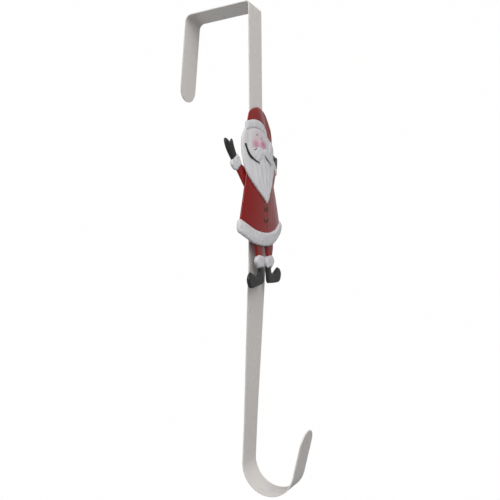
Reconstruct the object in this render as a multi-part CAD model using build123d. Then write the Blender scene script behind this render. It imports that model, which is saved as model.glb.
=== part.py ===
from build123d import *
import os
from math import asin, cos, degrees, radians, sin, sqrt, tan

os.makedirs("parts", exist_ok=True)

# Strip: flat steel bent into a door hook, a long shank and a wreath hook
overall_height = 390.0
strip_thickness = 1.0
strip_width = 22.0
shank_wide = 28.4
bar_depth = 59.8
leg_length = 70.5
leg_splay = 5.4
leg_bend = 5.5
shank_bend = 2.3
lean_start = 211.0
lean_angle = 3.2
lean_bend = 80.0
hook_radius = 21.8
tip_length = 35.9
tip_flare = 14.4
widen_start = 90.0
widen_end = 205.0
taper_start = 232.0
taper_end = 335.0
end_round_gap = 0.05

# Figure: layered pressed sheet, heights measured up from its soles
sheet = 1.0
sole_drop = 228.5
crown_depth = 8.2
lean_from = 71.0
lean_meet = 147.5
collar_height = 92.0
collar_half = 21.6
collar_bow = 3.2
waist_half = 27.8
waist_bow = 5.1
skirt_height = 32.0
skirt_half = 39.9
skirt_bow = 5.1
beard_radius = 80.0
hat_radius = 130.0
head_span = 36.0
head_gap = 0.05
hair_raise = 0.8
trim_raise = 1.5
moustache_raise = 2.4
moustache_round = 1.2
pompom_radius = 6.4
pompom_raise = 1.8
pompom_round = 1.2
hem_raise = 2.6
hem_round = 1.6
hem_tilt = 2.8
hem_pivot = 33.0
arm_sweep = 0.18
arm_tilt = 0.06
arm_gap = 0.4
arm_pivot = 20.0
shoulder_height = 90.0
right_arm_out = 1.5
cuff_raise = 1.2
mitten_raise = 0.6
leg_half = 16.0
leg_gap = 0.1
leg_raise = 1.0
leg_show = 36.5
leg_cuff_raise = 2.0
leg_cuff_round = 1.4
boot_raise = 1.2
boot_round = 1.0
right_boot_turn = 8.0
left_boot_turn = -5.0
right_boot_lift = 1.2

# Buttons: two rivets through the coat and its bracket
button_heights = (62.6, 53.8)
button_diameter = 4.4
button_dome = 1.2
rivet_diameter = 2.4
rivet_tail = 4.0
tail_height = 0.8
hole_clearance = 0.1

# Bracket: folded sheet that stands the coat off the strip
bracket_half = 6.0
bracket_foot = 5.0
bracket_low = 48.0
bracket_high = 69.0
bracket_gap = 0.05

bar_half = bar_depth / 2
bar_mid = strip_thickness / 2
shank_front = -bar_half - strip_thickness / 2
reach = 60.0


def strip():
    """One swept strip, trimmed to its outline and rounded at both ends."""
    side = Vector(sin(radians(leg_splay)), -cos(radians(leg_splay)))
    corner = Vector(bar_half, bar_mid)
    leg_turn = 90 - leg_splay
    leg_set = leg_bend * tan(radians(leg_turn / 2))
    lean_set = lean_bend * tan(radians(lean_angle / 2))
    leg = Line(corner + side * leg_length, corner + side * leg_set)
    back_bend = JernArc(leg @ 1, leg % 1, leg_bend, leg_turn)
    bar = Line(back_bend @ 1, (shank_bend - bar_half, bar_mid))
    front_bend = JernArc(bar @ 1, bar % 1, shank_bend, 90)
    upper = Line(front_bend @ 1, (-bar_half, lean_set - lean_start))
    lean = JernArc(upper @ 1, upper % 1, lean_bend, lean_angle)
    hook_top = strip_thickness - overall_height + strip_thickness / 2
    hook_top += hook_radius * (1 + sin(radians(lean_angle)))
    drop = ((lean @ 1).Y - hook_top) / cos(radians(lean_angle))
    lower = Line(lean @ 1, lean @ 1 + (lean % 1) * drop)
    turn = 180 + lean_angle - tip_flare
    hook = JernArc(lower @ 1, lower % 1, hook_radius, -turn)
    tip = Line(hook @ 1, hook @ 1 + (hook % 1) * tip_length)
    path = Plane.YZ * Wire([leg, back_bend, bar, front_bend, upper, lean, lower, hook, tip])
    section = Plane(origin=path @ 0, x_dir=(1, 0, 0), z_dir=path % 0)
    blank = sweep(section * Rectangle(shank_wide + 1, strip_thickness), path=path)

    # The shank widens behind the figure and tapers again to the wreath hook
    half = strip_width / 2
    wide = shank_wide / 2
    right = [(half, -widen_start), (wide, -widen_end), (wide, -taper_start), (half, -taper_end)]
    left = [(-x, z) for x, z in reversed(right)]
    flank = make_face(Polyline(*right, *left, close=True))
    flank = Pos(0, -bar_half, 0) * extrude(Plane.XZ * flank, amount=2 * strip_width / 3, both=True)
    body = Box(strip_width, 6 * bar_depth, 3 * overall_height) + flank
    shape = blank & body

    ends = shape.edges().filter_by(lambda e: abs(e.length - strip_thickness) < 0.01)
    round_off = half - end_round_gap
    shape = fillet(ends.sort_by_distance(path @ 0)[:2], round_off)
    ends = shape.edges().filter_by(lambda e: abs(e.length - strip_thickness) < 0.01)
    return fillet(ends.sort_by_distance(path @ 1)[:2], round_off)


def crown(height):
    """Depth of the coat's front at its middle: upright below, leaning back above."""
    if height <= lean_from:
        return crown_depth
    return crown_depth * (lean_meet - height) / (lean_meet - lean_from)


def bow_radius(half, bow):
    return (half**2 + bow**2) / (2 * bow)


def section(half, radius, depth, height):
    """Level slice of a former: an arc at the front, square at the back."""
    edge = depth - radius + sqrt(radius**2 - half**2)
    arc = ThreePointArc((-half, -edge), (0, -depth), (half, -edge))
    back = Polyline((half, -edge), (half, reach), (-half, reach), (-half, -edge))
    return Pos(0, 0, height) * make_face([arc, back])


def coat_former(offset, grow=1.0):
    """Solid whose front is the coat's flared surface, moved forward and widened."""
    stations = [
        (collar_half, collar_bow, collar_height),
        (waist_half, waist_bow, lean_from),
        (skirt_half, skirt_bow, skirt_height),
    ]
    slices = []
    for half, bow, height in stations:
        radius = bow_radius(half, bow)
        wide = radius * sin(grow * asin(half / radius))
        slices.append(section(wide, radius, crown(height) + offset, height))
    return loft(slices, ruled=True)


def head_former(offset, extra=0.0):
    """Solid whose front is the head's leaning surface, moved forward by offset."""
    stations = [
        (beard_radius, lean_from - 12),
        (beard_radius, lean_from),
        (hat_radius, lean_meet + 4),
    ]
    slices = []
    for radius, height in stations:
        half = radius * sin((head_span + extra) / radius)
        slices.append(section(half, radius, crown(height) + offset, height))
    return loft(slices, ruled=True)


def prism(outline):
    """Front outline carried through the whole depth of the figure."""
    return extrude(Plane.XZ * outline, amount=reach, both=True)


def slab(low, high):
    """Level layer of the figure between two depths."""
    return Pos(0, -(low + high) / 2, 0) * Box(4 * reach, high - low, 8 * reach)


def soften(plate, radius):
    """Plate with the edges of its front face rounded over."""
    front = plate.faces().sort_by(SortBy.AREA)[-2:].sort_by(Axis.Y)[0]
    return fillet(front.edges(), radius)


def head_layer(low, high):
    return head_former(high) - head_former(low, 2)


def head_front(offset):
    """Space in front of the head's surface moved forward by offset."""
    block = Pos(0, -crown_depth, lean_from + 40) * Box(70, 2 * crown_depth + 40, 100)
    return block - head_former(offset)


def coat_layer(low, high, grow=1.0):
    return coat_former(high, grow) - coat_former(low, 1.1 * grow)


def head_outline():
    left = Spline((0, 67), (-13.5, 77.3), (-23.2, 88), (-27.4, 100), (-26.3, 115), (-21.8, 124))
    brim = Line((-21.8, 124), (-20.2, 129.6))
    step = Line((-20.2, 129.6), (-17, 131.6))
    hat = Spline((-17, 131.6), (-12.5, 139.5), (0, 145.4), (15, 141.2), (24.6, 132.2), (26.6, 121.5))
    right = Spline((26.6, 121.5), (27.4, 112), (26.2, 100), (19.4, 88), (9.6, 77.3), (0, 67))
    return make_face([left, brim, step, hat, right])


def brow_line():
    """Edge between the hat and its fur trim, carried past the head on the left."""
    return Spline((-27, 128), (-17.7, 131.5), (-6, 135), (5.4, 134), (13.5, 128.5), (15.5, 119.5))


def hat_outline():
    over = Polyline((15.5, 119.5), (40, 119.5), (40, 155), (-27, 155), (-27, 128))
    return make_face([brow_line(), over])


def trim_outline():
    end = Line((15.5, 119.5), (10.5, 118))
    lower = Spline((10.5, 118), (7, 125.5), (0, 127.5), (-9.5, 127.5), (-27, 122.6))
    return make_face([brow_line(), end, lower, Line((-27, 122.6), (-27, 128))])


def moustache_outline():
    right = Spline((0, 105.6), (6, 102.4), (12, 99), (17.5, 100.4), (23, 106), (25, 112))
    top = Spline((25, 112), (17, 109), (7, 112), (0, 110.5), (-7, 112), (-17, 109), (-24.6, 112))
    left = Spline((-24.6, 112), (-23, 106), (-17, 101), (-10, 99), (-4, 102.2), (0, 105.6))
    return make_face([right, top, left])


def tilt_hem(face):
    """Outline tipped up on the right, as the coat's lower end is."""
    return Pos(0, hem_pivot) * Rot(0, 0, hem_tilt) * Pos(0, -hem_pivot) * face


def hem_outline():
    """Band that dips at the middle."""
    top = ThreePointArc((-35, 53.2), (0, 43.5), (35, 53.2))
    right = [(35, 53.2), (38.6, 49.6), (34, 45), (22, 37.6)]
    left = [(-20, 36.6), (-36.6, 44.8), (-39, 49.4), (-35, 53.2)]
    return tilt_hem(make_face([top, Spline(*right, (7, 33.4), *left)]))


def sleeve_outline():
    return make_face(Polyline((15, 91), (15, 80), (24, 78.5), (33, 91.5), (28, 97), (22, 92), close=True))


def cuff_outline():
    inner = Spline((26.5, 96), (28.3, 100.1), (30.8, 103.1))
    outer = Spline((37.8, 97.2), (38.4, 93.6), (35, 90.4), (32, 90))
    return make_face([inner, Line(inner @ 1, outer @ 0), outer, Line(outer @ 1, inner @ 0)])


def mitten_outline():
    thumb = Spline((30.8, 101), (33.5, 108), (34.9, 113))
    tip = ThreePointArc((34.9, 113), (35.8, 113.9), (36.8, 113))
    notch = Polyline((36.8, 113), (38, 111), (41.2, 112.9))
    fingers = ThreePointArc((41.2, 112.9), (43.6, 113.2), (44.4, 110.8))
    palm = Spline((44.4, 110.8), (42.3, 104.5), (36.6, 96.2))
    return make_face([thumb, tip, notch, fingers, palm, Line((36.6, 96.2), (30.8, 101))])


def leg_outline():
    inner = [(1.5, 46), (1.6, 34), (2.6, 22)]
    return make_face(Polyline(*inner, (13.2, 22), (leg_half, 32), (leg_half, 46), close=True))


def leg_cuff_outline():
    return make_face(
        [
            Spline((2.4, 24.6), (12, 25.6), (15.4, 20.6), (11, 15.4)),
            Line((11, 15.4), (3.4, 15.4)),
            Spline((3.4, 15.4), (1.2, 20), (2.4, 24.6)),
        ]
    )


def boot_outline(turn, lift):
    """Boot turned out to the right with a curled toe, tipped about its ankle."""
    boot = make_face(
        [
            Polyline((2.8, 17), (3, 5.4), (4.8, 3)),
            Spline((4.8, 3), (16, 2), (25.5, 2.6), (29, 8), (23.5, 12.8)),
            Spline((23.5, 12.8), (19, 10.6), (13.6, 9.8), (11, 11.6), (10.8, 17)),
            Line((10.8, 17), (2.8, 17)),
        ]
    )
    return Pos(7, 14 + lift) * Rot(0, 0, turn) * Pos(-7, -14) * boot


def build_head():
    """Hat, trim, face, hair, beard and moustache in one domed pressing."""
    outline = prism(head_outline())
    hat = prism(hat_outline())
    face = prism(Pos(-3, 117) * Ellipse(15, 10.5))
    shape = head_layer(head_gap, sheet + hair_raise) & outline
    shape -= head_front(sheet) & (hat + face)
    shape += head_layer(sheet / 2, sheet + trim_raise) & prism(trim_outline()) & outline
    moustache = head_layer(sheet / 2, sheet + moustache_raise) & prism(moustache_outline())
    pompom = head_layer(sheet / 2, sheet + pompom_raise) & prism(Pos(20.6, 112.5) * Circle(pompom_radius))
    return shape + soften(moustache, moustache_round) + soften(pompom, pompom_round)


def build_coat():
    """Flared coat shell, its lower edge hidden by the fur hem."""
    lower = make_face(
        [
            ThreePointArc((-60, 77), (0, 38.5), (60, 77)),
            Polyline((60, 77), (60, -30), (-60, -30), (-60, 77)),
        ]
    )
    shape = coat_layer(-sheet, 0) - prism(tilt_hem(lower))
    for height in button_heights:
        shape -= rivet_hole(height)
    return shape


def rivet_hole(height):
    hole = Cylinder(rivet_diameter / 2 + hole_clearance, reach)
    return Pos(0, 0, height) * Rot(90, 0, 0) * hole


def plate_depth():
    """Front of the bracket's plate, just clear of the coat's curved back."""
    radius = bow_radius(waist_half, waist_bow)
    sag = radius - sqrt(radius**2 - bracket_half**2)
    return crown_depth - sheet - sag - bracket_gap


def build_bracket():
    """Folded bracket: two feet on the strip, two webs and a front plate."""
    front = plate_depth()
    half = bracket_half
    foot = half + bracket_foot
    outer = [(-foot, 0), (-foot, -sheet), (-half, -sheet), (-half, -front)]
    outer += [(half, -front), (half, -sheet), (foot, -sheet), (foot, 0)]
    inner = [(half - sheet, 0), (half - sheet, sheet - front)]
    inner += [(sheet - half, sheet - front), (sheet - half, 0)]
    profile = make_face(Polyline(*outer, *inner, close=True))
    shape = extrude(Pos(0, 0, bracket_low) * profile, amount=bracket_high - bracket_low)
    for height in button_heights:
        shape -= rivet_hole(height)
    return shape


def build_button(height):
    """Domed rivet head in front, shank, and a flat tail behind the bracket."""
    tail = plate_depth() - sheet
    dome_radius = bow_radius(button_diameter / 2, button_dome)
    rim_angle = degrees(asin(1 - button_dome / dome_radius))
    profile = make_face(
        [
            Polyline((0, tail - tail_height), (rivet_tail / 2, tail - tail_height), (rivet_tail / 2, tail)),
            Polyline((rivet_tail / 2, tail), (rivet_diameter / 2, tail), (rivet_diameter / 2, crown_depth)),
            Polyline((rivet_diameter / 2, crown_depth), (button_diameter / 2, crown_depth)),
            CenterArc((0, crown_depth + button_dome - dome_radius), dome_radius, rim_angle, 90 - rim_angle),
            Line((0, crown_depth + button_dome), (0, tail - tail_height)),
        ]
    )
    turned = revolve(profile, axis=Axis.Y)
    return Pos(0, 0, height) * Rot(180, 0, 0) * turned


def arm_depth(x, height):
    """Front of an arm plate at its seat behind the coat, before sweep and tilt."""
    return arm_seat() - arm_sweep * x - arm_tilt * height


def arm_seat():
    """Largest plate offset that keeps the arm behind the coat all over its seat."""
    best = 1000.0
    for step in range(8):
        height = 78 + 2 * step
        share = (height - lean_from) / (collar_height - lean_from)
        radius = bow_radius(waist_half, waist_bow)
        radius += share * (bow_radius(collar_half, collar_bow) - radius)
        half = waist_half + share * (collar_half - waist_half)
        for x in range(15, int(half) + 1):
            back = crown(height) - sheet - radius + sqrt(radius**2 - x**2)
            best = min(best, back + arm_sweep * x + arm_tilt * height)
    return best - arm_gap


def arm_plate(outline, raised=0.0):
    """Sheet of the given outline in the arm's swept plane, raised at its front."""
    point = (arm_pivot, -arm_depth(arm_pivot, shoulder_height), shoulder_height)
    plane = Plane(origin=point, x_dir=(1, arm_sweep, 0), z_dir=(arm_sweep, -1, arm_tilt))
    flat = Pos(-arm_pivot, -shoulder_height) * outline
    return plane * Pos(0, 0, -sheet) * extrude(flat, amount=sheet + raised)


def build_arm(out):
    """Raised right arm: sleeve, fur cuff and mitten in one pressing, moved out along its plane."""
    shift = Pos(out, 0)
    shape = arm_plate(shift * sleeve_outline())
    shape += arm_plate(shift * cuff_outline(), cuff_raise)
    return shape + arm_plate(shift * mitten_outline(), mitten_raise)


def leg_depth():
    """Front of the leg plates, just clear of the coat's curved back."""
    radius = bow_radius(waist_half, waist_bow)
    share = (46 - skirt_height) / (lean_from - skirt_height)
    radius = bow_radius(skirt_half, skirt_bow) * (1 - share) + radius * share
    sag = radius - sqrt(radius**2 - leg_half**2)
    return crown_depth - sheet - sag - leg_gap


def build_leg(turn, lift):
    """Leg, fur cuff and curled boot in one pressing, tucked behind the coat."""
    front = leg_depth()
    below = Pos(0, 0, leg_show - 4 * reach) * Box(8 * reach, 8 * reach, 8 * reach)
    shape = slab(front - sheet, front) & prism(leg_outline())
    shape += slab(front - sheet, front + leg_raise) & (prism(leg_outline()) & below)
    cuff = slab(front - sheet, front + leg_cuff_raise) & prism(leg_cuff_outline())
    boot = slab(front - sheet, front + boot_raise) & prism(boot_outline(turn, lift))
    return shape + soften(cuff, leg_cuff_round) + soften(boot, boot_round)


def build_hem():
    """Fur hem: a raised band lying on the front of the coat."""
    return soften(coat_layer(0, hem_raise, 1.25) & prism(hem_outline()), hem_round)


def place(shape):
    return Pos(0, shank_front, -sole_drop) * shape


nodes = {
    "hanger_strip": strip(),
    "mount_bracket": place(build_bracket()),
    "coat": place(build_coat()),
    "fur_hem": place(build_hem()),
    "head": place(build_head()),
    "right_arm": place(build_arm(right_arm_out)),
    "left_arm": place(mirror(build_arm(0), about=Plane.YZ)),
    "right_leg": place(build_leg(right_boot_turn, right_boot_lift)),
    "left_leg": place(mirror(build_leg(left_boot_turn, 0), about=Plane.YZ)),
    "upper_button": place(build_button(button_heights[0])),
    "lower_button": place(build_button(button_heights[1])),
}

for name, shape in nodes.items():
    export_step(shape, f"parts/{name}.step")
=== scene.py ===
import math
import bpy
import numpy as np
from mathutils import Matrix, Vector
from mathutils.geometry import delaunay_2d_cdt


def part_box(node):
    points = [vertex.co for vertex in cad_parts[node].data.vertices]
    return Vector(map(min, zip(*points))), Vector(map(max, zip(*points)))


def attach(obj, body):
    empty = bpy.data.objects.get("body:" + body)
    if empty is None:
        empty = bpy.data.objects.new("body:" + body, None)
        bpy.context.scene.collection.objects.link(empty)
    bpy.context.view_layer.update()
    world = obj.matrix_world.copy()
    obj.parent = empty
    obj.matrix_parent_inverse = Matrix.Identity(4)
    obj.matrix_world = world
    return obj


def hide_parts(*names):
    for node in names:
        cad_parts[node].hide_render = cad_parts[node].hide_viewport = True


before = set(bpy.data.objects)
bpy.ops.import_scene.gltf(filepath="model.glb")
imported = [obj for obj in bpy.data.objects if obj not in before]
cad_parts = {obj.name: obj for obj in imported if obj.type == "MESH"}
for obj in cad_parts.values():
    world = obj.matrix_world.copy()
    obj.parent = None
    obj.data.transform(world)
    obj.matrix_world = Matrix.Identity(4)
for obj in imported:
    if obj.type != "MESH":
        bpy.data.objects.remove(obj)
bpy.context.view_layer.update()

# Units: metres in the scene; the figure is drawn in millimetres
# u runs across the figure, h up from its soles and d forward from the strip's face
MM = 0.001

# How far the back of a piece lies inside the piece that carries it
SUNK = 0.45

# Figure surfaces, as in the solids
SHEET = 1.0
CROWN = 8.2
LEAN_FROM = 71.0
LEAN_MEET = 147.5
HAT_OVER = 4
COAT_HEIGHTS = (32.0, 71.0, 92.0)
COAT_HALVES = (39.9, 27.8, 21.6)
COAT_BOWS = (5.1, 5.1, 3.2)
BEARD_RADIUS = 80.0
HAT_RADIUS = 130.0
ARM_SEAT = 10.8
ARM_SWEEP = 0.18
ARM_TILT = 0.06
LEG_FRONT = 6.1
HEM_TILT = 2.8
HEM_PIVOT = (0, 33)

# How far the right mitten and cuff lie out and up from the mirrored places of the left ones
RIGHT_MITTEN_OUT = (3.6, -1.0)
RIGHT_CUFF_OUT = (4.2, 4.4)

# Strip centreline, in millimetres
STRIP_HALF = 11.0
STRIP_WIDE = 14.2
STRIP_THICK = 1.0
BAR_HALF = 29.9
HOOK_BOTTOM = -389.0
LEG_LENGTH = 70.5
LEG_SPLAY = 5.4
LEG_BEND = 5.5
SHANK_BEND = 2.3
LEAN_START = 211.0
LEAN_ANGLE = 3.2
LEAN_BEND = 80.0
HOOK_RADIUS = 21.8
TIP_LENGTH = 35.9
TIP_FLARE = 14.4
WIDEN = ((-335.0, -232.0, -205.0, -90.0), (STRIP_HALF, STRIP_WIDE, STRIP_WIDE, STRIP_HALF))

# The way from the part to the white backdrop; the room is darker on the camera's side
BACKDROP_WAY = (0.9, 0.3, 0.1)
WHITE = (1, 0.995, 0.995, 1)

# Camera fitted to the photograph, in degrees and millimetres, for a frame of 500 by 500 pixels
VIEW_AZIMUTH = -62.16
VIEW_ELEVATION = -1.55
VIEW_ROLL = -0.49
VIEW_DISTANCE = 482.52
VIEW_ASIDE = -5.6
VIEW_TARGET = (0.0, -29.9, -198.42)
FOCAL_PIXELS = 599.9
FRAME_PIXELS = 500
SENSOR = 36.0

face_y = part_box("mount_bracket")[1][1]
sole_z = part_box("coat")[1][2] - COAT_HEIGHTS[2] * MM


# Surfaces the figure's pieces lie on
def sag(across, radius):
    """How far an arc falls back to the sides."""
    return radius - np.sqrt(radius**2 - across**2)


def crown(h):
    """Depth of the figure's middle line, which leans back above the waist."""
    return CROWN * np.minimum(1, (LEAN_MEET - h) / (LEAN_MEET - LEAN_FROM))


def head_base(u, h):
    """Back of the head's pressing, which leans back towards the strip."""
    share = np.clip((h - LEAN_FROM) / (LEAN_MEET + HAT_OVER - LEAN_FROM), 0, 1)
    return crown(h) - (1 - share) * sag(u, BEARD_RADIUS) - share * sag(u, HAT_RADIUS)


def coat_base(u, h):
    """Front of the coat, ruled between its skirt, waist and collar."""
    turn = u / np.interp(h, COAT_HEIGHTS, COAT_HALVES)
    low = np.clip((h - COAT_HEIGHTS[0]) / (COAT_HEIGHTS[1] - COAT_HEIGHTS[0]), 0, 1)
    high = np.clip((h - COAT_HEIGHTS[1]) / (COAT_HEIGHTS[2] - COAT_HEIGHTS[1]), 0, 1)
    depth = crown(h)
    for weight, half, bow in zip((1 - low, low - high, high), COAT_HALVES, COAT_BOWS):
        radius = (half**2 + bow**2) / (2 * bow)
        depth = depth - weight * radius * (1 - np.cos(np.arcsin(half / radius) * turn))
    return depth


def arm_base(u, h):
    """Back of an arm's plate, swept back towards the mitten."""
    return ARM_SEAT - SHEET - ARM_SWEEP * np.abs(u) - ARM_TILT * h


def leg_base(u, h):
    """Back of a leg's plate."""
    return np.full_like(u, LEG_FRONT - SHEET)


# Relief: factors that scatter the noise's grid values, and the mean height of carved fur
HASH_ACROSS = 127.1
HASH_UP = 311.7
HASH_SPREAD = 43758.5453
FUR_MEAN = 0.4


def hashed(i, j):
    """Scattered value from 0 to 1 for each point of a grid."""
    return np.modf(np.abs(np.sin(i * HASH_ACROSS + j * HASH_UP) * HASH_SPREAD))[0]


def noise(x, y):
    """Smooth value noise from 0 to 1."""
    i, j = np.floor(x), np.floor(y)
    a, b = x - i, y - j
    a, b = a * a * (3 - 2 * a), b * b * (3 - 2 * b)
    low = hashed(i, j) * (1 - a) + hashed(i + 1, j) * a
    high = hashed(i, j + 1) * (1 - a) + hashed(i + 1, j + 1) * a
    return low * (1 - b) + high * b


def fur(u, h, slant, width, length):
    """Short carved fur strokes, from 0 to 1, along a slanted direction."""
    tilt = math.radians(slant)
    uneven = 1.2 * noise(u / 2.6, h / 2.6)
    sway = 1.6 * noise(u / 4.0 + 9, h / 4.0)
    along = h * math.cos(tilt) + u * math.sin(tilt) + uneven
    across = u * math.cos(tilt) - h * math.sin(tilt) + sway
    ridge = 1 - np.abs(2 * noise(across / width, along / length) - 1)
    fine = noise(across / width * 2.3 + 5, along / length * 1.8)
    return 0.65 * ridge + 0.35 * fine


def swell(far, rim):
    """Rounded rise from an edge, reaching 1 at the rim's width."""
    t = np.clip(far / rim, 0, 1)
    return np.sqrt(1 - (1 - t) ** 2)


def pillow(far, level, rise, rim):
    """Front that starts at a level on the edge and rises roundly over the rim's width."""
    return level + rise * swell(far, rim)


def fleece(u, h, far, level, rise, rim, depth, fade, slant, width, length):
    """Pillow with fur strokes carved to a depth, which fade out at the edge."""
    strokes = fur(u, h, slant, width, length) - FUR_MEAN
    return pillow(far, level, rise, rim) + depth * strokes * swell(far, fade)


def ramp(value, start, length):
    """From 0 at the start to 1 a length further on."""
    return np.clip((value - start) / length, 0, 1)


def bump(u, h, place, size):
    """Soft round hill of height 1."""
    return np.exp(-(((u - place[0]) / size[0]) ** 2) - ((h - place[1]) / size[1]) ** 2)


# Outlines: spacing of their points, gap below which two are one, and points measured at a time
STEP = 0.5
TOUCHING = 0.05
BATCH = 2000


def curve(points, step=STEP):
    """Smooth run through a few points."""
    p = np.array(points, float)
    p = np.vstack([2 * p[0] - p[1], p, 2 * p[-1] - p[-2]])
    run = []
    for a, b, c, d in zip(p, p[1:], p[2:], p[3:]):
        count = max(2, int(np.linalg.norm(c - b) / step))
        t = np.linspace(0, 1, count, endpoint=False)[:, None]
        square, cube = 2 * a - 5 * b + 4 * c - d, 3 * b - a - 3 * c + d
        run.append(0.5 * (2 * b + (c - a) * t + square * t**2 + cube * t**3))
    return np.vstack(run + [p[-2:-1]])


def line(points, step=STEP):
    """Straight runs through points."""
    runs = []
    for a, b in zip(points, points[1:]):
        count = max(1, int(math.dist(a, b) / step))
        runs.append(np.linspace(a, b, count, endpoint=False))
    return np.vstack(runs + [np.array(points[-1:], float)])


def closed(*runs):
    """One closed outline, anticlockwise, with no doubled points."""
    loop = np.vstack(runs)
    keep = np.linalg.norm(loop - np.roll(loop, 1, 0), axis=1) > TOUCHING
    loop = loop[keep]
    after = np.roll(loop, -1, 0)
    turns = (loop[:, 0] * after[:, 1] - after[:, 0] * loop[:, 1]).sum()
    return loop if turns > 0 else loop[::-1]


def ellipse(place, size, step=STEP):
    """Oval outline from its middle and half sizes."""
    count = int(math.tau * max(size) / step)
    turn = np.linspace(0, math.tau, count, endpoint=False)
    return closed(np.stack([place[0] + size[0] * np.cos(turn), place[1] + size[1] * np.sin(turn)], 1))


def flip(loop):
    """Mirrored outline for the other side of the figure."""
    return closed(loop * (-1, 1))


def turned(loop, degrees, about):
    """Outline turned anticlockwise about a point."""
    t = math.radians(degrees)
    spin = np.array([[math.cos(t), math.sin(t)], [-math.sin(t), math.cos(t)]])
    return (loop - about) @ spin + about


def measure(points, loop):
    """Distance of each point from an outline, and whether it lies inside."""
    a, b = loop, np.roll(loop, -1, 0)
    run = b - a
    far, inside = [], []
    for some in np.array_split(points, len(points) // BATCH + 1):
        p = some[:, None]
        t = np.clip(((p - a) * run).sum(2) / (run**2).sum(1), 0, 1)
        far.append(np.linalg.norm(a + t[..., None] * run - p, axis=2).min(1))
        level = (a[:, 1] > p[..., 1]) != (b[:, 1] > p[..., 1])
        cut = a[:, 0] + (p[..., 1] - a[:, 1]) * run[:, 0] / np.where(run[:, 1] == 0, 1, run[:, 1])
        inside.append((level & (p[..., 0] < cut)).sum(1) % 2 == 1)
    return np.hstack(far), np.hstack(inside)


# Pieces: rings of points inside a sheet's edge, how near they may come to it, row spacing and weld gap
RINGS = (0.15, 0.35, 0.7, 1.2)
RING_CLEAR = 0.95
ROW_SHARE = 0.866
WELD = 1e-4


def add(name, vertices, faces, materials, node, smooth=50):
    """Mesh piece riding on the hanger and standing for a node."""
    mesh = bpy.data.meshes.new(name)
    mesh.from_pydata(vertices, [], faces)
    mesh.validate()
    mesh.shade_smooth()
    mesh.set_sharp_from_angle(angle=math.radians(smooth))
    piece = bpy.data.objects.new(name, mesh)
    bpy.context.scene.collection.objects.link(piece)
    for material in materials:
        mesh.materials.append(material)
    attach(piece, "root")
    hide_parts(node)
    return piece


def plate(name, loop, base, relief, material, slot, node, step=0.6, sunk=0.0, rings=RINGS):
    """Closed sheet inside an outline: relief raises its front from base, and sunk its back."""
    after, before = np.roll(loop, -1, 0), np.roll(loop, 1, 0)
    inward = (after - before) @ np.array([[0, 1], [-1, 0]])
    inward /= np.linalg.norm(inward, axis=1)[:, None]
    low, high = loop.min(0), loop.max(0)
    across = np.arange(low[0], high[0], step)
    rows = enumerate(np.arange(low[1], high[1], step * ROW_SHARE))
    grid = [np.stack([across + step / 2 * (k % 2), np.full(len(across), h)], 1) for k, h in rows]
    grid = np.vstack(grid)
    far, inside = measure(grid, loop)
    points = [loop, grid[inside & (far > rings[-1] + step / 2)]]
    for ring in rings:
        near = loop + inward * ring
        far, inside = measure(near, loop)
        points.append(near[inside & (far > RING_CLEAR * ring)])
    points = [Vector(p) for p in np.vstack(points)]
    flat, _, faces, *_ = delaunay_2d_cdt(points, [], [list(range(len(loop)))], 1, WELD)
    flat = np.array(flat)
    far, _ = measure(flat, loop)
    u, h = flat[:, 0], flat[:, 1]
    front = base(u, h) + relief(u, h, far)
    back = base(u, h) + sunk
    count = len(flat)
    vertices = np.vstack([place(u, h, front), place(u, h, back)])
    walls = {}
    for face in faces:
        for a, b in zip(face, face[1:] + face[:1]):
            if (b, a) in walls:
                del walls[b, a]
            else:
                walls[a, b] = (b, a, a + count, b + count)
    sides = [tuple(face) for face in faces]
    sides += [tuple(k + count for k in reversed(face)) for face in faces]
    sides += list(walls.values())
    return add(name, vertices, sides, [material], node)


def place(u, h, d):
    """Figure coordinates to the scene."""
    return np.stack([u * MM, face_y - d * MM, sole_z + h * MM], 1)


def brush(points, widths):
    """Outline of a painted brush line with changing width."""
    path = curve(points, step=0.4)
    share = np.linspace(0, 1, len(path))
    half = np.interp(share, np.linspace(0, 1, len(widths)), widths)[:, None] / 2
    run = np.gradient(path, axis=0)
    side = run @ np.array([[0, 1], [-1, 0]]) / np.linalg.norm(run, axis=1)[:, None]
    return closed(path + side * half, (path - side * half)[::-1])


# Materials: fineness of the paint's orange peel, and how much a blush is wider than high
PEEL_SCALE = 700
BLUSH_WIDE = 1.4


def nodes_of(name):
    """New material, its node tree and its shader."""
    material = bpy.data.materials.new(name)
    material.use_nodes = True
    tree = material.node_tree
    return material, tree, tree.nodes["Principled BSDF"]


def noise_node(tree, scale, detail=3.0, stretch=(1, 1, 1)):
    """Noise in object space, where stretch squeezes it along an axis."""
    where = tree.nodes.new("ShaderNodeTexCoord")
    mapping = tree.nodes.new("ShaderNodeMapping")
    mapping.inputs["Scale"].default_value = stretch
    texture = tree.nodes.new("ShaderNodeTexNoise")
    texture.inputs["Scale"].default_value = scale
    texture.inputs["Detail"].default_value = detail
    tree.links.new(where.outputs["Object"], mapping.inputs["Vector"])
    tree.links.new(mapping.outputs["Vector"], texture.inputs["Vector"])
    return texture.outputs["Fac"]


def ranged(tree, value, low, high, start=0.3, end=0.7):
    """Value from low to high while the given one goes from start to end."""
    node = tree.nodes.new("ShaderNodeMapRange")
    for key, number in (("From Min", start), ("From Max", end), ("To Min", low), ("To Max", high)):
        node.inputs[key].default_value = number
    tree.links.new(value, node.inputs["Value"])
    return node.outputs["Result"]


def mixed(tree, factor, first, second):
    """Blend of two colours, each a colour or a socket."""
    node = tree.nodes.new("ShaderNodeMix")
    node.data_type = "RGBA"
    tree.links.new(factor, node.inputs[0])
    for socket, colour in ((node.inputs[6], first), (node.inputs[7], second)):
        if isinstance(colour, tuple):
            socket.default_value = (*colour, 1)
        else:
            tree.links.new(colour, socket)
    return node.outputs[2]


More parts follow.
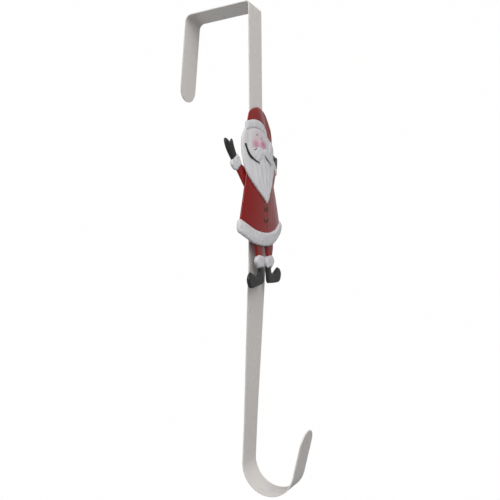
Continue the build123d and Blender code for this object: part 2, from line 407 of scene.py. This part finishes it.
def bumped(tree, shader, heights):
    """Chain of bump nodes for the given (socket, distance in metres) pairs."""
    last = None
    for value, distance in heights:
        node = tree.nodes.new("ShaderNodeBump")
        node.inputs["Strength"].default_value = 0.5
        node.inputs["Distance"].default_value = distance
        tree.links.new(value, node.inputs["Height"])
        if last:
            tree.links.new(last, node.inputs["Normal"])
        last = node.outputs["Normal"]
    tree.links.new(last, shader.inputs["Normal"])


def paint(name, tone, shade, rough, coat=0.0, stretch=(1, 1, 0.25), cloud=90, depth=0.000012):
    """Gloss paint on metal: brushed clouds of tone, uneven gloss and a faint orange-peel skin."""
    material, tree, shader = nodes_of(name)
    clouds = ranged(tree, noise_node(tree, cloud, detail=4, stretch=stretch), low=0, high=1)
    tree.links.new(mixed(tree, clouds, tone, shade), shader.inputs["Base Color"])
    gloss = ranged(tree, noise_node(tree, cloud * 2.5), low=rough * 0.8, high=rough * 1.25)
    tree.links.new(gloss, shader.inputs["Roughness"])
    shader.inputs["Coat Weight"].default_value = coat
    shader.inputs["Coat Roughness"].default_value = rough
    peel = noise_node(tree, PEEL_SCALE, detail=2)
    strokes = noise_node(tree, cloud * 6, detail=2, stretch=stretch)
    bumped(tree, shader, ((peel, depth), (strokes, depth * 0.8)))
    return material


def skin_paint(name, tone, shade, spots):
    """White paint with soft oval blushes for the skin and the cheeks."""
    material = paint(name, tone, shade, rough=0.42, cloud=140)
    tree = material.node_tree
    shader = tree.nodes["Principled BSDF"]
    colour = shader.inputs["Base Color"].links[0].from_socket
    where = tree.nodes.new("ShaderNodeTexCoord")
    for spot, size, blush in spots:
        wide = tree.nodes.new("ShaderNodeMapping")
        wide.inputs["Scale"].default_value = (1, 1, BLUSH_WIDE)
        gap = tree.nodes.new("ShaderNodeVectorMath")
        gap.operation = "DISTANCE"
        gap.inputs[1].default_value = (spot[0], spot[1], spot[2] * BLUSH_WIDE)
        tree.links.new(where.outputs["Object"], wide.inputs["Vector"])
        tree.links.new(wide.outputs["Vector"], gap.inputs[0])
        fade = ranged(tree, gap.outputs["Value"], low=1.0, high=0.0, start=size * 0.25, end=size)
        colour = mixed(tree, fade, colour, blush)
    tree.links.new(colour, shader.inputs["Base Color"])
    return material


strip_paint = paint(
    "strip_paint", (0.64, 0.61, 0.585), (0.61, 0.583, 0.56), rough=0.3, coat=1.0, cloud=25, depth=0.000006
)
red_paint = paint(
    "red_paint", (0.225, 0.006, 0.004), (0.2, 0.005, 0.004), rough=0.25, cloud=50, depth=0.000007
)
fur_paint = paint(
    "fur_paint", (0.595, 0.585, 0.595), (0.52, 0.51, 0.53), rough=0.5, cloud=300, stretch=(1, 1, 1)
)
beard_paint = paint("beard_paint", (0.62, 0.61, 0.62), (0.55, 0.545, 0.56), rough=0.42, cloud=260)
black_paint = paint("black_paint", (0.021, 0.020, 0.019), (0.012, 0.012, 0.011), rough=0.36)
line_paint = paint("line_paint", (0.022, 0.012, 0.014), (0.012, 0.008, 0.010), rough=0.4)
button_paint = paint("button_paint", (0.035, 0.022, 0.012), (0.02, 0.013, 0.008), rough=0.35)
rim_paint = paint("rim_paint", (0.11, 0.075, 0.045), (0.08, 0.052, 0.03), rough=0.4)


# Strip
def strip_path():
    """Centreline points, their normals and their run along the strip, in millimetres."""
    splay = math.radians(LEG_SPLAY)
    turn = 90 - LEG_SPLAY
    lean = math.radians(LEAN_ANGLE)
    leg_set = LEG_BEND * math.tan(math.radians(turn / 2))
    lean_set = LEAN_BEND * math.tan(lean / 2)
    bar_z = STRIP_THICK / 2
    y, z = BAR_HALF + LEG_LENGTH * math.sin(splay), bar_z - LEG_LENGTH * math.cos(splay)
    points, heading = [(y, z)], 90 + LEG_SPLAY
    headings = [heading]

    def ahead(length, spacing=5.0):
        nonlocal y, z
        count = max(1, round(length / spacing))
        for _ in range(count):
            y += length / count * math.cos(math.radians(heading))
            z += length / count * math.sin(math.radians(heading))
            points.append((y, z))
            headings.append(heading)

    def bend(radius, degrees, spacing=4.0):
        nonlocal y, z, heading
        count = max(2, round(abs(degrees) / spacing))
        chord = 2 * radius * math.sin(math.radians(abs(degrees) / count / 2))
        for _ in range(count):
            heading += degrees / count / 2
            y += chord * math.cos(math.radians(heading))
            z += chord * math.sin(math.radians(heading))
            heading += degrees / count / 2
            points.append((y, z))
            headings.append(heading)

    # Fine steps round off the leg's end, and the same at the hook's tip
    ahead(STRIP_HALF, spacing=0.25)
    ahead(LEG_LENGTH - leg_set - STRIP_HALF)
    bend(LEG_BEND, turn)
    ahead(2 * BAR_HALF - leg_set - SHANK_BEND)
    bend(SHANK_BEND, 90, spacing=9)
    ahead(LEAN_START - lean_set - SHANK_BEND + bar_z)
    bend(LEAN_BEND, LEAN_ANGLE, spacing=0.4)
    hook_z = HOOK_BOTTOM + bar_z + HOOK_RADIUS * (1 + math.sin(lean))
    ahead((z - hook_z) / math.cos(lean))
    bend(HOOK_RADIUS, -(180 + LEAN_ANGLE - TIP_FLARE))
    ahead(TIP_LENGTH - STRIP_HALF)
    ahead(STRIP_HALF, spacing=0.25)
    points = np.array(points)
    headings = np.radians(headings)
    normals = np.stack([-np.sin(headings), np.cos(headings)], 1)
    steps = np.linalg.norm(np.diff(points, axis=0), axis=1)
    return points, normals, np.hstack([0, np.cumsum(steps)])


def strip_widths(points, run):
    """Half width along the strip: wider behind the figure, full round at both ends."""
    half = np.where(points[:, 0] < -BAR_HALF / 2, np.interp(points[:, 1], *WIDEN), STRIP_HALF)
    for gap in (run, run[-1] - run):
        near = gap < STRIP_HALF
        half[near] = np.minimum(half[near], np.sqrt(STRIP_HALF**2 - (STRIP_HALF - gap[near]) ** 2))
    return half


def build_strip():
    """Bent strip with softened edges."""
    points, normals, run = strip_path()
    half = strip_widths(points, run)
    keep = slice(1, len(points) - 1)
    margin, soft, thick = 0.9, 0.28, STRIP_THICK / 2
    inset = soft * (1 - math.sin(math.pi / 4))
    edge = [(margin, thick), (soft, thick), (inset, thick - inset), (0, thick - soft)]
    edge += [(a, -b) for a, b in reversed(edge)]
    section = [(1, a, b) for a, b in edge] + [(-1, a, -b) for a, b in edge]
    rings = []
    for (y, z), (ny, nz), wide in zip(points[keep], normals[keep], half[keep]):
        for side, a, b in section:
            rings.append((side * (wide - a) * MM, (y + ny * b) * MM, (z + nz * b) * MM))
    size, count = len(section), len(points) - 2
    faces = []
    for k in range(count - 1):
        for j in range(size):
            here, there = k * size + j, k * size + (j + 1) % size
            faces.append((here, there, there + size, here + size))
    faces.append(tuple(range(size))[::-1])
    faces.append(tuple(range((count - 1) * size, count * size)))
    add("strip", rings, faces, [strip_paint], "hanger_strip", smooth=40)


# Coat: heights over which its front is averaged, so that the waist has no sharp bend
WAIST_EASE = np.linspace(-6, 6, 7)


def build_coat():
    """Flared shell with a pressed centre crease, its lower edge behind the fur hem."""
    bottom = curve([(-35.25, 47), (-18, 40.1), (0, 38.5), (18, 41.9), (34.4, 49.7)])
    right = line([(34.4, 49.7), (27.8, 71), (21.6, 91.9)])
    left = line([(-21.6, 91.9), (-27.8, 71), (-35.25, 47)])

    def relief(u, h, far):
        below_beard = np.clip((70 - h) / 4, 0, 1)
        crease = 0.22 * np.exp(-((u / 0.5) ** 2)) * below_beard
        fuller = 0.9 * ramp(u, start=12, length=18)
        return pillow(far, level=0.85, rise=0.15, rim=0.25) - crease + fuller

    def base(u, h):
        return np.mean([coat_base(u, h + up) for up in WAIST_EASE], 0) - SHEET

    loop = closed(bottom, right, line([(21.6, 91.9), (-21.6, 91.9)]), left)
    plate("coat_shell", loop, base, relief, red_paint, "coat_paint", "coat", step=0.8)


def build_hem():
    """Tilted fur band with slanting carved strokes."""
    top = curve([(-34.2, 54.2), (-18, 46), (0, 43.5), (18, 46), (34, 53.4)])
    right = [(34, 53.4), (38, 51.4), (38.6, 48), (33.4, 44.6), (21, 38.8)]
    left = [(-20, 35.6), (-34.8, 43), (-37.8, 46.2), (-36.4, 52.2), (-34.2, 54.2)]

    def relief(u, h, far):
        strokes = {"slant": -30, "width": 1.3, "length": 3.6}
        return fleece(u, h, far, level=1.2, rise=1.1, rim=2.6, depth=0.7, fade=1.0, **strokes)

    loop = turned(closed(top, curve([*right, (7, 33.8), (-6, 33.2), *left])), HEM_TILT, HEM_PIVOT)
    plate("hem_fur", loop, coat_base, relief, fur_paint, "fur_paint", "fur_hem", step=0.42)


# Head: outlines, and where the parts of the face lie
BEARD_HEIGHTS = (67, 77, 88, 100, 125)
BEARD_HALVES = (5, 15, 24, 28, 27)
HAIR_LEFT = [(0, 67), (-13, 77.3), (-22.6, 88), (-26.8, 100), (-26.3, 115), (-21.8, 124)]
HAIR_RIGHT = [(27.4, 121.5), (28, 112), (26, 99), (18, 88), (8, 77.3), (0, 67)]
HAT_TOP = [(-17, 131.6), (-12.5, 139.7), (0, 145.6), (10, 145), (19, 140.8), (25.2, 132.8), (27.4, 121.5)]
BROW = [(-17.7, 131), (-7, 133.8), (4, 133.2), (11.8, 128.2), (13.6, 119.5)]
FACE_PLACE = (-3.0, 117)
FACE_SIZE = (15.0, 10.5)
FACE_LEVEL = 1.6
CHEEKS = ((-10.6, 113.2), (1.8, 114.7))
EYES = ((-7, 121.4), (-0.8, 119.3))
NOSE = (-3.6, 115.2)
SKIN = (0.59, 0.465, 0.5)
BLUSHES = ((0.55, 0.24, 0.34), (0.5, 0.16, 0.27))
BLUSH_SIZE = 6.8


def strands(u, h, count):
    """Wavy locks that run down the beard and close in on its tip."""
    wave = 0.05 * np.sin(h / 4.0)
    uneven = 0.10 * (noise(u / 6, h / 9) - 0.5)
    across = u / np.interp(h, BEARD_HEIGHTS, BEARD_HALVES) + wave + uneven
    broad = np.cos(math.pi * count * across)
    fine = np.cos(math.pi * count * 3.1 * across + 2 * noise(u / 5, h / 7))
    return 0.75 * broad + 0.25 * fine


def build_beard():
    """Hair and beard in grooved locks, smooth round the face."""
    top = curve([(-21.8, 124), (-12, 128), (0, 130), (10, 127), (17, 122), HAIR_RIGHT[0]])

    def relief(u, h, far):
        off_face = np.clip(1.6 - 2 * bump(u, h, FACE_PLACE, FACE_SIZE), 0, 1)
        locks = 0.22 * strands(u, h, count=7) * swell(far, 3) * off_face
        return pillow(far, level=FACE_LEVEL - 0.5, rise=0.5, rim=1.4) + locks

    loop = closed(curve(HAIR_LEFT), top, curve(HAIR_RIGHT))
    plate("beard", loop, head_base, relief, beard_paint, "fur_paint", "head", step=0.45)


def build_face():
    """Doll-like face: round cheeks, a small nose and shallow eye sockets."""

    def relief(u, h, far):
        front = pillow(far, level=FACE_LEVEL - 0.25, rise=0.4, rim=4)
        for cheek, eye in zip(CHEEKS, EYES):
            front = front + 0.3 * bump(u, h, cheek, (3.8, 3.4)) - 0.15 * bump(u, h, eye, (2.6, 1.6))
        return front + 0.6 * bump(u, h, NOSE, (2.0, 2.2))

    def ink(u, h, far):
        return pillow(far, level=FACE_LEVEL + 0.12, rise=0.12, rim=0.3)

    oval = ellipse(FACE_PLACE, FACE_SIZE)
    plate("face", oval, head_base, relief, face_paint, "fur_paint", "head", step=0.4, sunk=SUNK)
    fine = {"step": 0.3, "sunk": SUNK, "rings": (0.1,)}
    for name, (u, h) in zip(("left_eye", "right_eye"), EYES):
        lid = brush([(u - 1.3, h - 0.8), (u, h), (u + 1.3, h + 0.3)], widths=(0.2, 0.7, 0.2))
        plate(name, lid, head_base, ink, line_paint, "boot_paint", "head", **fine)


def build_hat():
    """Smooth hat with its tail folded down on the right."""
    tail_end = line([HAT_TOP[-1], (26.4, 119.4), BROW[-1]])
    under = curve([BROW[-1], (11, 127), (5, 131.5), (-6, 132.5), (-17, 129)])

    def relief(u, h, far):
        from_fold = (u - 14.5) * 0.8 + (h - 137) * 0.6
        fold = 0.35 * np.exp(-((from_fold / 1.1) ** 2)) * ramp(u, start=5, length=6)
        tail = 1.6 * ramp(u, start=13, length=12) - 0.8 * ramp(u, start=9, length=4)
        hanging = np.clip((139 - h) / 8, 0, 1)
        crest = 1.1 * bump(u, h, (1, 139), (8, 11)) * swell(far, 3)
        dome = pillow(far, level=0.45, rise=0.4, rim=1.4) + 0.4 * swell(far, 9)
        return np.maximum(dome - fold + crest + tail * hanging, 0.3)

    loop = closed(curve(HAT_TOP), tail_end, under, line([(-17, 129), (-17, 131.6)]))
    plate("hat", loop, head_base, relief, red_paint, "coat_paint", "head", step=0.5, sunk=SUNK / 3)


def build_trim():
    """Fur band along the hat's edge."""
    upper = curve([(-20.2, 129.6), *BROW])
    lower = curve([(9.8, 118.4), (7, 124.5), (0, 126.4), (-9.5, 126.4), (-21.8, 123)])

    def relief(u, h, far):
        strokes = {"slant": 20, "width": 1.1, "length": 2.8}
        full = 0.75 - 0.4 * ramp(u, start=0, length=10)
        return fleece(u, h, far, FACE_LEVEL - 0.2, rise=full, rim=2.4, depth=0.35, fade=1.2, **strokes)

    loop = closed(upper, line([BROW[-1], (9.8, 118.4)]), lower, line([(-21.8, 123), (-20.2, 129.6)]))
    plate("hat_trim", loop, head_base, relief, fur_paint, "fur_paint", "head", step=0.4, sunk=SUNK)


def build_moustache():
    """Two swept lobes with painted brush lines beneath them, and a short stroke of painted shade at the
    left lobe's top.
    """
    right = curve([(0, 105.6), (6, 102.4), (12, 99), (17.5, 100.4), (23, 106), (25, 112)])
    top = curve([(25, 112), (17, 109), (7, 112), (0, 110.5), (-7, 112), (-17, 109), (-24.6, 112)])
    left = curve([(-24.6, 112), (-23, 106), (-17, 101), (-10, 99), (-4, 102.2), (0, 105.6)])

    def relief(u, h, far):
        turn = np.arctan2(h - 116, np.abs(u) + 3)
        locks = np.cos(turn * 22 + 0.06 * np.abs(u))
        front = pillow(far, level=FACE_LEVEL - 0.1, rise=0.8, rim=4.0)
        return front + 0.06 * locks * swell(far, 2.0)

    loop = closed(right, top, left)
    plate("moustache", loop, head_base, relief, beard_paint, "fur_paint", "head", step=0.42, sunk=SUNK)

    def ink(u, h, far):
        return pillow(far, level=FACE_LEVEL + 0.75, rise=0.2, rim=0.5)

    left_line = [(-24.2, 111.8), (-22.7, 107.2), (-20, 103), (-15, 100.3), (-8, 98.3)]
    # Short dark stroke at the top of the left lobe: painted shade where the lobe's upper edge meets the
    # cheek, on the left side only
    painted_shade_line = [(-14.4, 108.7), (-12.4, 108.7), (-10, 110.3)]
    right_line = [(2, 105.6), (7, 102.6), (13.6, 100.4)]
    lines = {
        "moustache_line_left": brush(left_line, widths=(1.4, 1.5, 1.9, 0.75, 0.3)),
        "painted_shade_line": brush(painted_shade_line, widths=(0.2, 0.6, 0.2)),
        "moustache_line_right": brush(right_line, widths=(0.4, 0.8, 0.3)),
    }
    fine = {"step": 0.3, "sunk": SUNK, "rings": (0.12, 0.3)}
    for name, stroke in lines.items():
        plate(name, stroke, head_base, ink, line_paint, "boot_paint", "head", **fine)


def build_pompom():
    """Fur ball at the end of the hat's tail."""

    def relief(u, h, far):
        strokes = {"slant": 0, "width": 1.1, "length": 1.6}
        return fleece(u, h, far, FACE_LEVEL - 0.3, rise=1.2, rim=5, depth=0.45, fade=1.5, **strokes)

    ball = ellipse((21, 113.6), (6.6, 6.8))
    plate("pompom", ball, head_base, relief, fur_paint, "fur_paint", "head", step=0.4, sunk=SUNK)


# Arms
def build_arm(side):
    """Sleeve, fur cuff and mitten on one plate."""
    name = "right_arm" if side > 0 else "left_arm"
    cuff_out, mitten_out = (RIGHT_CUFF_OUT, RIGHT_MITTEN_OUT) if side > 0 else ((0, 0), (0, 0))
    wrist = np.array([(33, 91.5), (28, 97)]) + cuff_out
    sleeve = line([(15, 92), (15, 80), (24, 78.5), *wrist, (21.5, 93.6), (15, 92)])
    inner = curve([(26.5, 96), (28.3, 100.1), (30.8, 103.1)])
    outer = curve([(37.8, 97.2), (38.4, 93.6), (35, 90.4), (32, 90)])
    cuff = (inner, line([(30.8, 103.1), (37.8, 97.2)]), outer, line([(32, 90), (26.5, 96)]))
    thumb = curve([(30.8, 101), (33.5, 108), (34.9, 113), (35.8, 113.9), (36.8, 113), (38, 111)])
    fingers = curve([(38, 111), (41.2, 112.9), (43.4, 113.2), (44.4, 110.8), (42.3, 104.5), (36.6, 96.2)])
    mitten = (thumb, fingers, line([(36.6, 96.2), (30.8, 101)]))

    def turn(loop, out=(0, 0)):
        return closed(loop + out) if side > 0 else flip(loop)

    def cloth(u, h, far):
        right_forward = 1.2 * ramp(u, start=24, length=4)
        return pillow(far, level=0.4, rise=0.7, rim=2.5) + right_forward

    def furry(u, h, far):
        strokes = {"slant": 40, "width": 1.1, "length": 2.4}
        return fleece(u * side, h, far, level=1.1, rise=0.9, rim=2.4, depth=0.5, fade=1.0, **strokes)

    def knit(u, h, far):
        return pillow(far, level=0.5, rise=1.3, rim=3.0)

    sleeve = turn(closed(sleeve))
    cuff = turn(closed(*cuff), cuff_out)
    mitten = turn(closed(*mitten), mitten_out)
    under = SUNK / 3
    plate(name + "_sleeve", sleeve, arm_base, cloth, red_paint, "coat_paint", name, step=0.6, sunk=under)
    plate(name + "_cuff", cuff, arm_base, furry, fur_paint, "fur_paint", name, step=0.4)
    plate(name + "_mitten", mitten, arm_base, knit, black_paint, "boot_paint", name, step=0.45, sunk=under)


# Legs: the point about which a boot is tipped
ANKLE = (7, 14)


def build_leg(side, tip, lift):
    """Trouser leg, fur cuff and boot with a curled toe, tipped in degrees and lifted."""
    name = "right_leg" if side > 0 else "left_leg"
    turn = (lambda loop: loop) if side > 0 else flip
    inseam = [(1.3, 46), (1.4, 34), (3.6, 25), (3.6, 22)]
    outseam = [(13.2, 22), (16, 31.5), (16.6, 46), (1.3, 46)]
    trouser = line([*inseam, *outseam])
    cuff = curve([(2.4, 24.6), (12, 25.6), (15.4, 20.6), (11, 15.4)])
    cuff_side = curve([(3.4, 15.4), (1.2, 20), (2.4, 24.6)])
    toe = curve([(4.8, 3), (16, 1.8), (25.5, 2), (29.2, 7.4), (27.6, 11.8), (24, 13.8)])
    instep = curve([(24, 13.8), (20, 12), (14.4, 9.9), (11, 11.6), (10.8, 17)])
    shaft = line([(10.8, 17), (2.8, 17), (3, 5.4), (4.8, 3)])
    boot = turned(closed(toe, instep, shaft), tip, ANKLE) + (0, lift)

    def cloth(u, h, far):
        below_coat = np.clip((36.5 - h) / 2, 0, 1)
        return pillow(far, level=0.3, rise=0.7, rim=1.6) + 0.9 * swell(far, 5) * below_coat

    def furry(u, h, far):
        strokes = {"slant": 10, "width": 1.2, "length": 2.4}
        return fleece(u * side, h, far, level=1.6, rise=1.4, rim=3.0, depth=0.5, fade=1.0, **strokes)

    def leather(u, h, far):
        return pillow(far, level=1.2, rise=1.1, rim=2.2)

    trouser = turn(closed(trouser))
    cuff = turn(closed(cuff, cuff_side))
    boot = turn(boot)
    under = SUNK / 3
    plate(name + "_trouser", trouser, leg_base, cloth, red_paint, "coat_paint", name, step=0.6, sunk=under)
    plate(name + "_cuff", cuff, leg_base, furry, fur_paint, "fur_paint", name, step=0.4)
    plate(name + "_boot", boot, leg_base, leather, black_paint, "boot_paint", name, step=0.5, sunk=under)


# Buttons: radius and height of each ring from the rim to the dome, in millimetres
BUTTON_RIM = [(2.2, 0.0), (2.3, 0.35), (2.1, 0.75), (1.75, 0.85)]
BUTTON_DOME = [(1.5, 0.65), (1.3, 0.7), (0.8, 1.05), (0.35, 1.18)]
BUTTON_TOP = 1.2
BUTTON_SIDES = 40


def build_button(node):
    """Domed button with a rolled rim."""
    low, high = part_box(node)
    middle = ((low[0] + high[0]) / 2, (low[2] + high[2]) / 2)
    seat = face_y - CROWN * MM
    profile = BUTTON_RIM + BUTTON_DOME
    count = BUTTON_SIDES
    vertices = []
    for radius, height in profile:
        for k in range(count):
            t = math.tau * k / count
            x, z = middle[0] + radius * MM * math.cos(t), middle[1] + radius * MM * math.sin(t)
            vertices.append((x, seat - height * MM, z))
    vertices.append((middle[0], seat - BUTTON_TOP * MM, middle[1]))
    faces = []
    for ring in range(len(profile) - 1):
        for k in range(count):
            a, b = ring * count + k, ring * count + (k + 1) % count
            faces.append((a, b, b + count, a + count))
    last = (len(profile) - 1) * count
    faces += [(last + k, last + (k + 1) % count, last + count) for k in range(count)]
    faces.append(tuple(range(count))[::-1])
    piece = add(node + "_cap", vertices, faces, [button_paint, rim_paint], node, smooth=70)
    rim_faces = (len(BUTTON_RIM) - 1) * count
    for face in piece.data.polygons:
        face.material_index = 1 if face.index < rim_faces else 0


def blush_spots():
    """Place, size and tone of the skin and of both cheeks, on the front of the face."""
    spots = []
    cheeks = [(cheek, BLUSH_SIZE, tone) for cheek, tone in zip(CHEEKS, BLUSHES)]
    for spot, size, tone in ((FACE_PLACE, FACE_SIZE[0], SKIN), *cheeks):
        across, up = np.array([spot[0]]), np.array([spot[1]])
        middle = place(across, up, head_base(across, up) + FACE_LEVEL)[0]
        spots.append((tuple(middle), size * MM, tone))
    return spots


# The part
face_paint = skin_paint("face_paint", (0.62, 0.61, 0.62), (0.58, 0.57, 0.58), blush_spots())
build_strip()
build_coat()
build_hem()
build_beard()
build_face()
build_hat()
build_trim()
build_moustache()
build_pompom()
for side, boot_tip, boot_lift in ((1, 6, 0.4), (-1, -5, 0)):
    build_arm(side)
    build_leg(side, boot_tip, boot_lift)
for node in ("upper_button", "lower_button"):
    build_button(node)

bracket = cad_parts["mount_bracket"]
bracket.data.materials.clear()
bracket.data.materials.append(strip_paint)


# Stage: the point on the figure that the lights are aimed at, in metres
LIGHT_AIM = (0, -0.03, -0.17)


def facing(tree, space):
    """How far a place or a direction lies towards the backdrop."""
    where = tree.nodes.new("ShaderNodeTexCoord")
    along = tree.nodes.new("ShaderNodeVectorMath")
    along.operation = "DOT_PRODUCT"
    along.inputs[1].default_value = BACKDROP_WAY
    tree.links.new(where.outputs[space], along.inputs[0])
    return along.outputs["Value"]


def show_to_camera(tree, lit, seen, output):
    """One shader as light on the part, another where the camera looks straight at it."""
    path = tree.nodes.new("ShaderNodeLightPath")
    blend = tree.nodes.new("ShaderNodeMixShader")
    tree.links.new(path.outputs["Is Camera Ray"], blend.inputs[0])
    tree.links.new(lit, blend.inputs[1])
    tree.links.new(seen, blend.inputs[2])
    tree.links.new(blend.outputs[0], output.inputs["Surface"])


def build_floor():
    """Floor well below the hanging part, plain white to the camera; its lit tone is painted shade, dark
    beneath the part and on the camera's side and paler towards the backdrop.
    """
    size, drop = 30.0, -0.75
    mesh = bpy.data.meshes.new("floor")
    corners = [(-size, -size, drop), (size, -size, drop), (size, size, drop), (-size, size, drop)]
    mesh.from_pydata(corners, [], [(0, 1, 2, 3)])
    material, tree, shader = nodes_of("floor_painted_shade")
    # Painted shade: the floor's colour as light sees it darkens towards the camera's side, standing in for
    # a darker room there
    tone = ranged(tree, facing(tree, "Object"), low=0.35, high=0.95, start=0.7, end=1.6)
    tree.links.new(tone, shader.inputs["Base Color"])
    shader.inputs["Roughness"].default_value = 0.9
    glow = tree.nodes.new("ShaderNodeEmission")
    glow.inputs["Color"].default_value = WHITE
    show_to_camera(tree, shader.outputs[0], glow.outputs[0], tree.nodes["Material Output"])
    mesh.materials.append(material)
    floor = bpy.data.objects.new("floor", mesh)
    bpy.context.scene.collection.objects.link(floor)


def build_world():
    """White surround: bright behind the part, softer as light on it."""
    world = bpy.data.worlds.new("studio")
    bpy.context.scene.world = world
    world.use_nodes = True
    tree = world.node_tree
    soft = tree.nodes["Background"]
    soft.inputs["Color"].default_value = (1, 1, 1, 1)
    strength = ranged(tree, facing(tree, "Generated"), low=0.2, high=0.57, start=-0.2, end=0.9)
    tree.links.new(strength, soft.inputs["Strength"])
    bright = tree.nodes.new("ShaderNodeBackground")
    bright.inputs["Color"].default_value = WHITE
    show_to_camera(tree, soft.outputs[0], bright.outputs[0], tree.nodes["World Output"])


def build_light(name, place_m, size, power):
    """Square softbox aimed at the figure."""
    light = bpy.data.lights.new(name, "AREA")
    light.size = size
    light.energy = power
    lamp = bpy.data.objects.new(name, light)
    lamp.location = place_m
    lamp.rotation_euler = (Vector(LIGHT_AIM) - Vector(place_m)).to_track_quat("-Z", "Y").to_euler()
    bpy.context.scene.collection.objects.link(lamp)


def build_camera():
    """Camera at the photograph's place."""
    a, e, r = (math.radians(x) for x in (VIEW_AZIMUTH, VIEW_ELEVATION, VIEW_ROLL))
    back = Vector((math.sin(a) * math.cos(e), -math.cos(a) * math.cos(e), math.sin(e)))
    right = Vector((math.cos(a), math.sin(a), 0))
    up = back.cross(right)
    centre = Vector(VIEW_TARGET) + right * VIEW_ASIDE + back * VIEW_DISTANCE
    across = right * math.cos(r) + up * math.sin(r)
    upward = up * math.cos(r) - right * math.sin(r)
    data = bpy.data.cameras.new("camera")
    data.sensor_width = SENSOR
    data.lens = FOCAL_PIXELS / FRAME_PIXELS * SENSOR
    data.clip_start = 0.01
    camera = bpy.data.objects.new("camera", data)
    turn = Matrix((across, upward, back)).transposed().to_4x4()
    camera.matrix_world = Matrix.Translation(centre * MM) @ turn
    bpy.context.scene.collection.objects.link(camera)
    bpy.context.scene.camera = camera


build_floor()
build_world()
build_light("key", (-1.35, -1.15, 1.15), size=2.2, power=58)
build_light("back_fill", (-0.6, 1.9, 0.6), size=1.5, power=22)
build_camera()
bpy.context.scene.view_settings.view_transform = "Standard"
